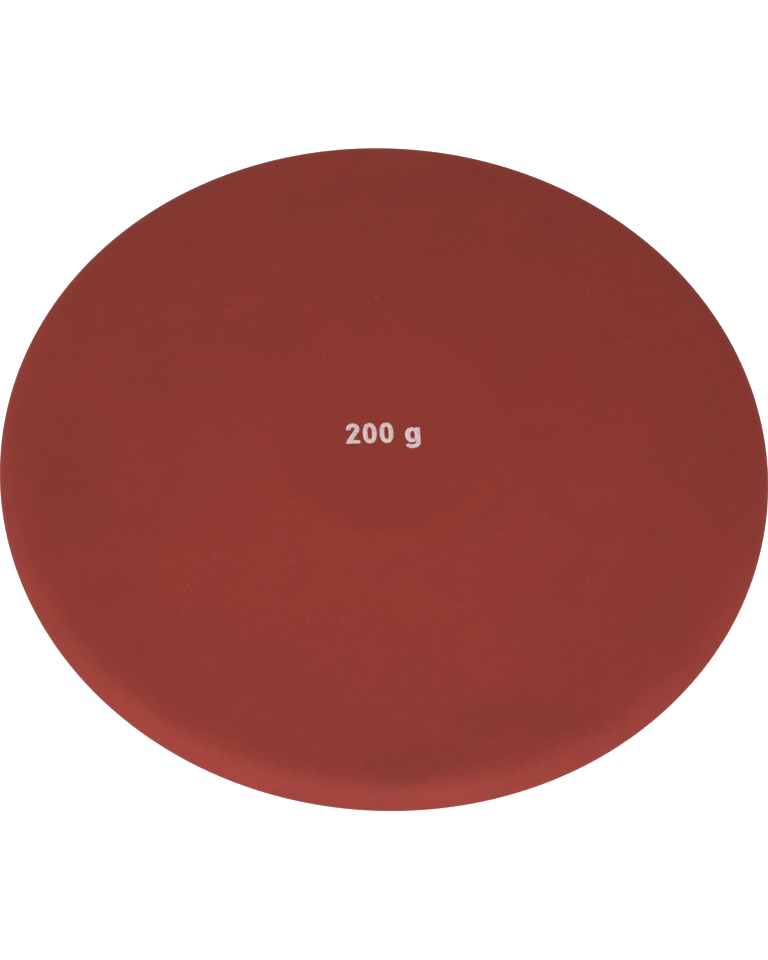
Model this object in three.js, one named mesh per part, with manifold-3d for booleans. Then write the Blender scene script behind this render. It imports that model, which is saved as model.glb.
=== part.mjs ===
// Soft training discus: one seamless hollow shell of soft PVC, closed by a push-in valve under its centre.
// Units are millimetres and +Z is up. The origin is the middle of the discus, on its spin axis.

import * as THREE from "three";
import { mergeVertices } from "three/addons/utils/BufferGeometryUtils.js";
import Module from "manifold-3d";

const wasm = await Module();
wasm.setup();

// Outer form of the discus
const DISCUS_DIAMETER = 180;
const DISCUS_THICKNESS = 32;
const CENTRE_FLAT_DIAMETER = 54;
const SHOULDER_RADIUS = 24;
const RIM_NOSE_RADIUS = 6;
const RIM_BLEND_RADIUS = 18;
const RIM_NOSE_END_ANGLE = THREE.MathUtils.degToRad(70);

// Wall of the shell, which sets its weight
const WALL = 3.1;

// Moulded neck inside the underside, and the recess and bore that take the valve
const NECK_DIAMETER = 21;
const NECK_HEIGHT = 12;
const NECK_EDGE_RADIUS = 1.5;
const NECK_ROOT_RADIUS = 2;
const RECESS_DIAMETER = 16;
const RECESS_DEPTH = 2;
const RECESS_EDGE_CHAMFER = 0.4;
const BORE_DIAMETER = 9;

// Rubber valve seat, which fills the recess and the bore
const SEAT_CLEARANCE = 0.1;
const SEAT_SET_BACK = 0.3;
const LIP_OVERHANG = 1.1;
const LIP_THICKNESS = 0.8;
const LIP_TAPER_HEIGHT = 1.6;
const LIP_TAPER_INSET = 0.6;

// Plug, a round head on a tapered stem
const PLUG_CLEARANCE = 0.05;
const PLUG_HEAD_DIAMETER = 9;
const PLUG_HEAD_THICKNESS = 0.9;
const PLUG_EDGE_CHAMFER = 0.2;
const STEM_TOP_DIAMETER = 4.4;
const STEM_ROOT_DIAMETER = 5.2;
const STEM_LENGTH = 8.5;
const STEM_TIP_CHAMFER = 0.5;
const NAIL_NOTCH_RADIUS = 1.3;

// Steps of the round forms
const SHELL_STEPS = 80;
const VALVE_STEPS = 40;
const NOTCH_STEPS = 10;
const OUTER_NOSE_STEPS = 7;
const INNER_NOSE_STEPS = 4;
const BLEND_ARC_STEPS = 2;
const SHOULDER_ARC_STEPS = 2;
const EDGE_ARC_STEPS = 2;

// Heights that the pieces share
const topZ = DISCUS_THICKNESS / 2;
const bottomZ = -topZ;
const recessFloorZ = bottomZ + RECESS_DEPTH;
const neckEndZ = bottomZ + NECK_HEIGHT;
const seatFaceZ = bottomZ + SEAT_SET_BACK;
const headRecessFloorZ = seatFaceZ + PLUG_HEAD_THICKNESS + PLUG_CLEARANCE;

// A point of an outline, in the plane of radius and height
function point(radius, height) {
  return new THREE.Vector2(radius, height);
}

// A unit vector at an angle above the outward direction
function direction(angle) {
  return point(Math.cos(angle), Math.sin(angle));
}

// Points on an arc, from one normal's angle to another
function arc(centre, radius, fromAngle, toAngle, steps) {
  const points = [];
  for (let i = 0; i <= steps; i += 1) {
    const angle = THREE.MathUtils.lerp(fromAngle, toAngle, i / steps);
    points.push(direction(angle).multiplyScalar(radius).add(centre));
  }
  return points;
}

// The angle of the straight cone, so that it meets the blend's arc and the corner of the centre flat
function coneAngle(blendCentre) {
  const fromCorner = blendCentre.clone().sub(point(CENTRE_FLAT_DIAMETER / 2, topZ));
  return -Math.asin(RIM_BLEND_RADIUS / fromCorner.length()) - Math.atan2(fromCorner.y, fromCorner.x);
}

// Half of the section, this far inside the outer surface, from the widest line up to the centre flat
function upperHalf(inset, noseSteps) {
  const up = Math.PI / 2;
  const noseCentre = point(DISCUS_DIAMETER / 2 - RIM_NOSE_RADIUS, 0);
  const blendOffset = direction(RIM_NOSE_END_ANGLE).multiplyScalar(RIM_NOSE_RADIUS - RIM_BLEND_RADIUS);
  const blendCentre = noseCentre.clone().add(blendOffset);
  const cone = coneAngle(blendCentre);
  const shoulderTangent = SHOULDER_RADIUS * Math.tan(cone / 2);
  const shoulderCentre = point(CENTRE_FLAT_DIAMETER / 2 - shoulderTangent, topZ - SHOULDER_RADIUS);
  return [
    ...arc(noseCentre, RIM_NOSE_RADIUS - inset, 0, RIM_NOSE_END_ANGLE, noseSteps),
    ...arc(blendCentre, RIM_BLEND_RADIUS - inset, RIM_NOSE_END_ANGLE, up - cone, BLEND_ARC_STEPS).slice(1),
    ...arc(shoulderCentre, SHOULDER_RADIUS - inset, up - cone, up, SHOULDER_ARC_STEPS),
  ];
}

// The whole section, from the centre flat of the underside out round the rim and up to the one on top
function fullSection(inset, noseSteps) {
  const upper = upperHalf(inset, noseSteps);
  const lower = upper.slice(1).map((place) => point(place.x, -place.y));
  return [...lower.reverse(), ...upper];
}

// A round solid from an outline that starts on the axis below, runs up the outside and ends on the axis
function turned(points, steps) {
  return new THREE.LatheGeometry(points, steps).rotateX(Math.PI / 2);
}

// A round solid with a hole through it, whose outline closes on itself
function turnedRing(points, steps) {
  return turned([...points, points[0]], steps);
}

// Hollow shell: the outside from the recess up round the rim to the top, and back down inside to the neck
function makeShellGeometry() {
  const neckRadius = NECK_DIAMETER / 2;
  const innerFloorZ = bottomZ + WALL;
  const neckRootCentre = point(neckRadius + NECK_ROOT_RADIUS, innerFloorZ + NECK_ROOT_RADIUS);
  const neckEdgeCentre = point(neckRadius - NECK_EDGE_RADIUS, neckEndZ - NECK_EDGE_RADIUS);
  const outline = [
    point(BORE_DIAMETER / 2, recessFloorZ),
    point(RECESS_DIAMETER / 2, recessFloorZ),
    point(RECESS_DIAMETER / 2, bottomZ + RECESS_EDGE_CHAMFER),
    point(RECESS_DIAMETER / 2 + RECESS_EDGE_CHAMFER, bottomZ),
    ...fullSection(0, OUTER_NOSE_STEPS),
    point(0, topZ),
    point(0, topZ - WALL),
    ...fullSection(WALL, INNER_NOSE_STEPS).reverse(),
    ...arc(neckRootCentre, NECK_ROOT_RADIUS, -Math.PI / 2, -Math.PI, EDGE_ARC_STEPS),
    ...arc(neckEdgeCentre, NECK_EDGE_RADIUS, 0, Math.PI / 2, EDGE_ARC_STEPS),
    point(BORE_DIAMETER / 2, neckEndZ),
  ];
  return turnedRing(outline, SHELL_STEPS);
}

// Radius of the plug's tapered stem at a height
function stemRadius(height) {
  const share = (height - headRecessFloorZ) / STEM_LENGTH;
  return THREE.MathUtils.lerp(STEM_ROOT_DIAMETER / 2, STEM_TOP_DIAMETER / 2, share);
}

// Rubber seat: a flange in the recess, a barrel through the neck and a lip behind it, with a tapered bore
function makeSeatBody() {
  const barrelRadius = BORE_DIAMETER / 2 - SEAT_CLEARANCE;
  const flangeRadius = RECESS_DIAMETER / 2 - SEAT_CLEARANCE;
  const flangeBackZ = recessFloorZ - SEAT_CLEARANCE;
  const lipFaceZ = neckEndZ + SEAT_CLEARANCE;
  const lipEdgeZ = lipFaceZ + LIP_THICKNESS;
  const lipEndZ = lipEdgeZ + LIP_TAPER_HEIGHT;
  const headRecessRadius = PLUG_HEAD_DIAMETER / 2 + PLUG_CLEARANCE;
  return turnedRing(
    [
      point(headRecessRadius, seatFaceZ),
      point(flangeRadius, seatFaceZ),
      point(flangeRadius, flangeBackZ),
      point(barrelRadius, flangeBackZ),
      point(barrelRadius, lipFaceZ),
      point(barrelRadius + LIP_OVERHANG, lipFaceZ),
      point(barrelRadius + LIP_OVERHANG, lipEdgeZ),
      point(barrelRadius - LIP_TAPER_INSET, lipEndZ),
      point(stemRadius(lipEndZ) + PLUG_CLEARANCE, lipEndZ),
      point(stemRadius(headRecessFloorZ) + PLUG_CLEARANCE, headRecessFloorZ),
      point(headRecessRadius, headRecessFloorZ),
    ],
    VALVE_STEPS,
  );
}

// The scoop beside the plug's head, where a fingernail gets under it
function makeNailNotch() {
  const notch = new THREE.SphereGeometry(NAIL_NOTCH_RADIUS, NOTCH_STEPS * 2, NOTCH_STEPS);
  return notch.translate(PLUG_HEAD_DIAMETER / 2, 0, seatFaceZ);
}

// A geometry as a solid that can be cut
function toSolid(geometry) {
  const positions = new THREE.BufferGeometry().setAttribute("position", geometry.getAttribute("position"));
  positions.setIndex(geometry.getIndex());
  const merged = mergeVertices(positions);
  const vertProperties = new Float32Array(merged.getAttribute("position").array);
  const triVerts = new Uint32Array(merged.getIndex().array);
  return new wasm.Manifold(new wasm.Mesh({ numProp: 3, vertProperties, triVerts }));
}

// A cut solid as a geometry
function toGeometry(solid) {
  const mesh = solid.getMesh();
  const geometry = new THREE.BufferGeometry();
  geometry.setAttribute("position", new THREE.BufferAttribute(mesh.vertProperties, 3));
  geometry.setIndex(new THREE.BufferAttribute(mesh.triVerts, 1));
  geometry.computeVertexNormals();
  return geometry;
}

// The finished seat, with the notch cut in its flange
function makeSeatGeometry() {
  return toGeometry(toSolid(makeSeatBody()).subtract(toSolid(makeNailNotch())));
}

// Plug: a head flush with the seat's face, and a stem that narrows inwards, so that it pulls straight out
function makePlugGeometry() {
  const headRadius = PLUG_HEAD_DIAMETER / 2;
  const headBackZ = seatFaceZ + PLUG_HEAD_THICKNESS;
  const stemEndZ = headRecessFloorZ + STEM_LENGTH;
  return turned(
    [
      point(0, seatFaceZ),
      point(headRadius - PLUG_EDGE_CHAMFER, seatFaceZ),
      point(headRadius, seatFaceZ + PLUG_EDGE_CHAMFER),
      point(headRadius, headBackZ),
      point(stemRadius(headRecessFloorZ), headBackZ),
      point(stemRadius(stemEndZ - STEM_TIP_CHAMFER), stemEndZ - STEM_TIP_CHAMFER),
      point(stemRadius(stemEndZ) - STEM_TIP_CHAMFER, stemEndZ),
      point(0, stemEndZ),
    ],
    VALVE_STEPS,
  );
}

// Surfaces: brick-red soft PVC, black rubber, off-white polythene
const softPvc = new THREE.MeshStandardMaterial({ color: 0x8d3931, roughness: 0.6, metalness: 0 });
const valveRubber = new THREE.MeshStandardMaterial({ color: 0x1d1c1c, roughness: 0.7, metalness: 0 });
const plugPlastic = new THREE.MeshStandardMaterial({ color: 0xd9d5ca, roughness: 0.45, metalness: 0 });

// One piece of the discus
function namedMesh(name, geometry, material) {
  const mesh = new THREE.Mesh(geometry, material);
  mesh.name = name;
  return mesh;
}

const discus = new THREE.Group();
discus.add(namedMesh("shell", makeShellGeometry(), softPvc));
discus.add(namedMesh("valve_seat", makeSeatGeometry(), valveRubber));
discus.add(namedMesh("valve_plug", makePlugGeometry(), plugPlastic));

export default discus;
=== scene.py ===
"""Looks of a soft 200 g training discus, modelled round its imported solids.

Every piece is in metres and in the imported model's frame: the origin is the middle of the discus, +Z runs
along the spin axis and out of the printed face, and +X runs along the printed weight.
"""

import logging
import math
from collections.abc import Iterator
from contextlib import contextmanager
from dataclasses import dataclass
from enum import Enum

import bpy
from mathutils import Euler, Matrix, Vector


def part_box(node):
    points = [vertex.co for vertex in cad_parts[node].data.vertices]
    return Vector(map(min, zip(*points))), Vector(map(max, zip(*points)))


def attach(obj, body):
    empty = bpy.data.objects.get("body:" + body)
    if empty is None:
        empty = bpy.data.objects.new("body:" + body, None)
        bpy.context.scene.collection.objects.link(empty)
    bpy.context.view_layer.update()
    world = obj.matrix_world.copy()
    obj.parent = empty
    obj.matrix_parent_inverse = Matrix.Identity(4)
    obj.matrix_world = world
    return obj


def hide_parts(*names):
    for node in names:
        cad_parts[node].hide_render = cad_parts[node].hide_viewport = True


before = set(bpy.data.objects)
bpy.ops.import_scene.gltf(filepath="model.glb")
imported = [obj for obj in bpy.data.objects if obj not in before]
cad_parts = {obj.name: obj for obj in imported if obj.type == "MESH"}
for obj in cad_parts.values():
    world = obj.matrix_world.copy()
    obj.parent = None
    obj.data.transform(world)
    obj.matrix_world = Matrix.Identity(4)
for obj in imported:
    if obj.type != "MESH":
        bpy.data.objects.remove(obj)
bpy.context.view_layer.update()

MM = 0.001
INK_EDGE = "ink_edge"
MERGE_DISTANCE = 1e-6
QUARTER_TURN = math.pi / 2
ELLIPSE = 2.0
WHITE = (1.0, 1.0, 1.0)
log = logging.getLogger("discus")

Colour = tuple[float, float, float]
Span = tuple[float, float]
Section = list[Vector]
Settings = dict[str, object]
Inputs = dict[int | str, object]


class Body(Enum):
    """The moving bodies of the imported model."""

    DISCUS = "discus"
    PLUG = "plug"


class Slot(Enum):
    """The record's material slots."""

    SOFT_PVC = "soft_pvc"
    VALVE_RUBBER = "valve_rubber"
    PLUG_PLASTIC = "plug_plastic"
    PRINT_INK = "print_ink"


# Shader maths


class Field:
    """A number that varies over a surface, held as a node's output that takes part in Python sums."""

    def __init__(self, tree: "Nodes", socket: bpy.types.NodeSocket) -> None:
        """Wrap an output.

        Args:
            tree: The tree that holds the socket's node.
            socket: The output that gives the number.
        """
        self.tree = tree
        self.socket = socket

    def _math(self, operation: str, first: "Field | float", second: "Field | float") -> "Field":
        """Add a Math node.

        Args:
            operation: The Math node's operation.
            first: Its first operand.
            second: Its second operand.

        Returns:
            The result as a field.
        """
        return self.tree.field("ShaderNodeMath", {"operation": operation}, {0: first, 1: second})

    def __add__(self, other: "Field | float") -> "Field":
        """Return self + other."""
        return self._math("ADD", self, other)

    __radd__ = __add__

    def __sub__(self, other: "Field | float") -> "Field":
        """Return self - other."""
        return self._math("SUBTRACT", self, other)

    def __rsub__(self, other: "Field | float") -> "Field":
        """Return other - self."""
        return self._math("SUBTRACT", other, self)

    def __mul__(self, other: "Field | float") -> "Field":
        """Return self * other."""
        return self._math("MULTIPLY", self, other)

    __rmul__ = __mul__

    def __truediv__(self, other: "Field | float") -> "Field":
        """Return self / other."""
        return self._math("DIVIDE", self, other)

    def __rtruediv__(self, other: "Field | float") -> "Field":
        """Return other / self."""
        return self._math("DIVIDE", other, self)

    def __pow__(self, other: "Field | float") -> "Field":
        """Return self ** other."""
        return self._math("POWER", self, other)

    def __rpow__(self, other: "Field | float") -> "Field":
        """Return other ** self."""
        return self._math("POWER", other, self)

    def at_most(self, other: "Field | float") -> "Field":
        """Return the smaller of self and other."""
        return self._math("MINIMUM", self, other)

    def at_least(self, other: "Field | float") -> "Field":
        """Return the larger of self and other."""
        return self._math("MAXIMUM", self, other)

    def rises(self, start: float, end: float) -> "Field":
        """Return a smooth step.

        Args:
            start: The value below which the result is 0.
            end: The value above which the result is 1. It may be below start, for a falling step.

        Returns:
            A field from 0 to 1.
        """
        low, high = min(start, end), max(start, end)
        from_low, from_high = (0.0, 1.0) if start < end else (1.0, 0.0)
        settings = {"interpolation_type": "SMOOTHSTEP"}
        inputs = {0: self, 1: low, 2: high, 3: from_low, 4: from_high}
        return self.tree.field("ShaderNodeMapRange", settings, inputs)


@dataclass(frozen=True)
class Cloud:
    """A cloudy pattern.

    Attributes:
        size: The size of its largest clouds, in metres.
        detail: How many finer layers it has.
        shift: How far it is moved, in metres, so that two patterns differ.
        amount: Its full swing in what it changes, or its depth in metres where it is a relief.
    """

    size: float
    detail: float
    shift: float
    amount: float


@dataclass(frozen=True)
class Specks:
    """Small round specks, strewn at random.

    Attributes:
        spacing: The size of the cells that may hold a speck each, in metres.
        largest: The radius of the largest speck, in metres.
        share: The share of the cells that hold a speck.
        shift: How far the pattern is moved, in metres.
        strength: The strength of the few strongest.
        small_share: The share of the specks that are below full size.
        rarity: How rare strong specks are, where 1 makes all strengths as frequent.
        faintest: The strength of the faintest, as a share of the strongest.
        soft_share: The share of the largest radius over which an edge fades.
    """

    spacing: float
    largest: float
    share: float
    shift: float
    strength: float
    small_share: float = 0.7
    rarity: float = 3.0
    faintest: float = 0.1
    soft_share: float = 0.35


class Nodes:
    """The node tree of a material or of the world."""

    def __init__(self, owner: bpy.types.Material | bpy.types.World, output: str) -> None:
        """Empty the tree, but for its output.

        Args:
            owner: The material or the world.
            output: The type of its output node.
        """
        owner.use_nodes = True
        self.nodes = owner.node_tree.nodes
        self.links = owner.node_tree.links
        self.nodes.clear()
        self.output = self.node(output)

    def put(self, socket: bpy.types.NodeSocket, value: object) -> None:
        """Give an input its value, or link a field or an output to it.

        Args:
            socket: The input.
            value: The value, the field or the output.
        """
        source = value.socket if isinstance(value, Field) else value
        if isinstance(source, bpy.types.NodeSocket):
            self.links.new(source, socket)
        else:
            socket.default_value = source

    def node(
        self, kind: str, settings: Settings | None = None, inputs: Inputs | None = None
    ) -> bpy.types.Node:
        """Add any node.

        Args:
            kind: The node's type.
            settings: Its own properties, set before its sockets.
            inputs: A value, a field or an output for each socket, by name or number.

        Returns:
            The node.
        """
        node = self.nodes.new(kind)
        for key, value in (settings or {}).items():
            setattr(node, key, value)
        for key, value in (inputs or {}).items():
            self.put(node.inputs[key], value)
        return node

    def field(
        self,
        kind: str,
        settings: Settings | None = None,
        inputs: Inputs | None = None,
        output: int | str = 0,
    ) -> Field:
        """Add any node and take one of its outputs as a field.

        Args:
            kind: The node's type.
            settings: Its own properties.
            inputs: A value, a field or an output for each socket.
            output: The output to take, by name or number.

        Returns:
            The output as a field.
        """
        return Field(self, self.node(kind, settings, inputs).outputs[output])

    def rays(self, *kinds: str) -> list[Field]:
        """Return, for each kind of ray, a field that is 1 for it."""
        path = self.node("ShaderNodeLightPath")
        return [Field(self, path.outputs[f"Is {kind} Ray"]) for kind in kinds]

    def mixed_shaders(self, share: Field, first: bpy.types.Node, second: bpy.types.Node) -> bpy.types.Node:
        """Add a mix of two shaders, of which share is the second's part."""
        return self.node("ShaderNodeMixShader", None, {0: share, 1: first.outputs[0], 2: second.outputs[0]})

    def show(self, shader: bpy.types.Node) -> None:
        """Make a shader the tree's surface."""
        self.put(self.output.inputs["Surface"], shader.outputs[0])


class Shading(Nodes):
    """The node tree of one material, and the patterns that its finish is made of."""

    def __init__(self, name: str) -> None:
        """Start a material that has only its output.

        Args:
            name: The material's name.
        """
        self.material = bpy.data.materials.new(name)
        super().__init__(self.material, "ShaderNodeOutputMaterial")
        self.place = self.node("ShaderNodeTexCoord").outputs["Object"]

    def vector(self, operation: str, first: object, second: object) -> bpy.types.NodeSocket:
        """Add a Vector Math node that gives a vector.

        Args:
            operation: Its operation.
            first: Its first operand, a vector or an output.
            second: Its second operand.

        Returns:
            The resulting vector.
        """
        return self.node("ShaderNodeVectorMath", {"operation": operation}, {0: first, 1: second}).outputs[0]

    def length(self, vector: bpy.types.NodeSocket) -> Field:
        """Return the length of a vector."""
        return self.field("ShaderNodeVectorMath", {"operation": "LENGTH"}, {0: vector}, "Value")

    def part(self, vector: bpy.types.NodeSocket, axis: str) -> Field:
        """Return one part of a vector or a colour, by the letter of its axis."""
        return self.field("ShaderNodeSeparateXYZ", None, {0: vector}, axis)

    def noise(self, cloud: Cloud) -> Field:
        """Return a cloudy pattern.

        Args:
            cloud: Its size, its detail and its shift.

        Returns:
            A field from about 0.2 to 0.8.
        """
        moved = self.vector("ADD", self.place, (cloud.shift,) * 3)
        inputs = {"Vector": moved, "Scale": 1.0 / cloud.size, "Detail": cloud.detail, "Roughness": 0.5}
        return self.field("ShaderNodeTexNoise", {"noise_dimensions": "3D"}, inputs, "Fac")

    def sway(self, cloud: Cloud) -> Field:
        """Return a cloudy pattern round 0, as strong as its amount says."""
        return (self.noise(cloud) - 0.5) * cloud.amount

    def relief(self, cloud: Cloud, below: bpy.types.NodeSocket | None = None) -> bpy.types.NodeSocket:
        """Return normals tilted by a cloudy relief, which may lie on a coarser one."""
        return self.bump(self.noise(cloud), cloud.amount, below)

    def radius(self) -> Field:
        """Return the distance from the spin axis, in metres."""
        return self.length(self.vector("MULTIPLY", self.place, (1.0, 1.0, 0.0)))

    def height(self) -> Field:
        """Return the height above the middle plane, in metres."""
        return self.part(self.place, "Z")

    def distance_to(self, place: Vector, stretch: Vector) -> Field:
        """Return the distance to a place, in metres, as if space were stretched.

        Args:
            place: The place.
            stretch: How many times longer each axis counts.

        Returns:
            The distance.
        """
        away = self.vector("SUBTRACT", self.place, place[:])
        return self.length(self.vector("MULTIPLY", away, stretch[:]))

    def specks(self, specks: Specks) -> Field:
        """Return strewn specks.

        Args:
            specks: Their sizes, their share and their strengths.

        Returns:
            0 outside a speck, and its own strength inside.
        """
        moved = self.vector("ADD", self.place, (specks.shift, -specks.shift, specks.shift))
        inputs = {"Vector": moved, "Scale": 1.0 / specks.spacing}
        cells = self.node("ShaderNodeTexVoronoi", {"feature": "F1"}, inputs)
        draw = self.part(cells.outputs["Color"], "X")
        strength = self.part(cells.outputs["Color"], "Y") ** specks.rarity
        full_size = 1.0 - specks.share * (1.0 - specks.small_share)
        largest = specks.largest / specks.spacing
        reach = draw.rises(1.0 - specks.share, full_size) * largest
        inside = (reach - Field(self, cells.outputs["Distance"])).rises(0.0, specks.soft_share * largest)
        return inside * (strength * (1.0 - specks.faintest) + specks.faintest) * specks.strength

    def scaled(self, colour: bpy.types.NodeSocket | Colour, factor: Field) -> bpy.types.NodeSocket:
        """Return a colour made lighter or darker.

        Args:
            colour: The colour, fixed or from a node.
            factor: How many times lighter it gets.

        Returns:
            The new colour.
        """
        node = self.node("ShaderNodeVectorMath", {"operation": "SCALE"}, {0: colour, "Scale": factor})
        return node.outputs[0]

    def mixed(
        self,
        factor: Field,
        first: bpy.types.NodeSocket | Colour,
        second: bpy.types.NodeSocket | Colour,
    ) -> bpy.types.NodeSocket:
        """Return a mix of two colours.

        Args:
            factor: 0 for the first colour and 1 for the second.
            first: The first colour.
            second: The second colour.

        Returns:
            The mixed colour.
        """
        node = self.node("ShaderNodeMix", {"data_type": "RGBA"})
        for key, value in {"Factor": factor, "A": as_rgba(first), "B": as_rgba(second)}.items():
            self.put(next(socket for socket in node.inputs if socket.name == key and socket.enabled), value)
        return next(socket for socket in node.outputs if socket.enabled)

    def bump(
        self, height: Field, depth: float, below: bpy.types.NodeSocket | None = None
    ) -> bpy.types.NodeSocket:
        """Return normals tilted by small relief.

        Args:
            height: The relief, from 0 to 1.
            depth: How deep the relief is, in metres.
            below: Normals of a coarser relief that this one lies on.

        Returns:
            The tilted normals.
        """
        inputs: Inputs = {"Strength": 1.0, "Distance": depth, "Height": height}
        if below is not None:
            inputs["Normal"] = below
        return self.node("ShaderNodeBump", None, inputs).outputs[0]

    def finish(self, inputs: Inputs) -> bpy.types.Material:
        """End the material with a Principled shader.

        Args:
            inputs: The shader's sockets.

        Returns:
            The material.
        """
        self.show(self.node("ShaderNodeBsdfPrincipled", None, inputs))
        return self.material


def as_rgba(colour: bpy.types.NodeSocket | Colour) -> bpy.types.NodeSocket | tuple[float, ...]:
    """Return a fixed colour with its alpha, or a linked one as it is."""
    return (*colour, 1.0) if isinstance(colour, tuple) else colour


# Finishes


@dataclass(frozen=True)
class Smudge:
    """A soft patch of the upper face that handling left duller or cleaner.

    Attributes:
        x: Its place along the printed weight, in metres.
        y: Its place across the printed weight, in metres.
        length: Half its extent along x, in metres.
        width: Half its extent along y, in metres.
        strength: How much duller it is. A negative strength is cleaner.
        ragged_size: The size of the clouds that make its edge ragged, in metres.
        ragged_detail: How many finer layers they have.
        raggedness: How far they push the edge in and out, as a share of its extent.
        edge: Where it begins to show and where it is full, as shares of its extent.
    """

    x: float
    y: float
    length: float
    width: float
    strength: float
    ragged_size: float = 15 * MM
    ragged_detail: float = 3.0
    raggedness: float = 2.4
    edge: Span = (1.3, 0.25)

    def factor(self, shading: Shading) -> Field:
        """Return how much duller the plastic is at each point.

        Args:
            shading: The skin's shading.

        Returns:
            The smudge's strength inside it, and 0 outside.
        """
        stretch = Vector((1.0, self.length / self.width, 0.0))
        distance = shading.distance_to(Vector((self.x, self.y, 0.0)), stretch) / self.length
        clouds = Cloud(self.ragged_size, self.ragged_detail, self.x, self.raggedness)
        return (distance + shading.sway(clouds)).rises(*self.edge) * self.strength


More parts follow.
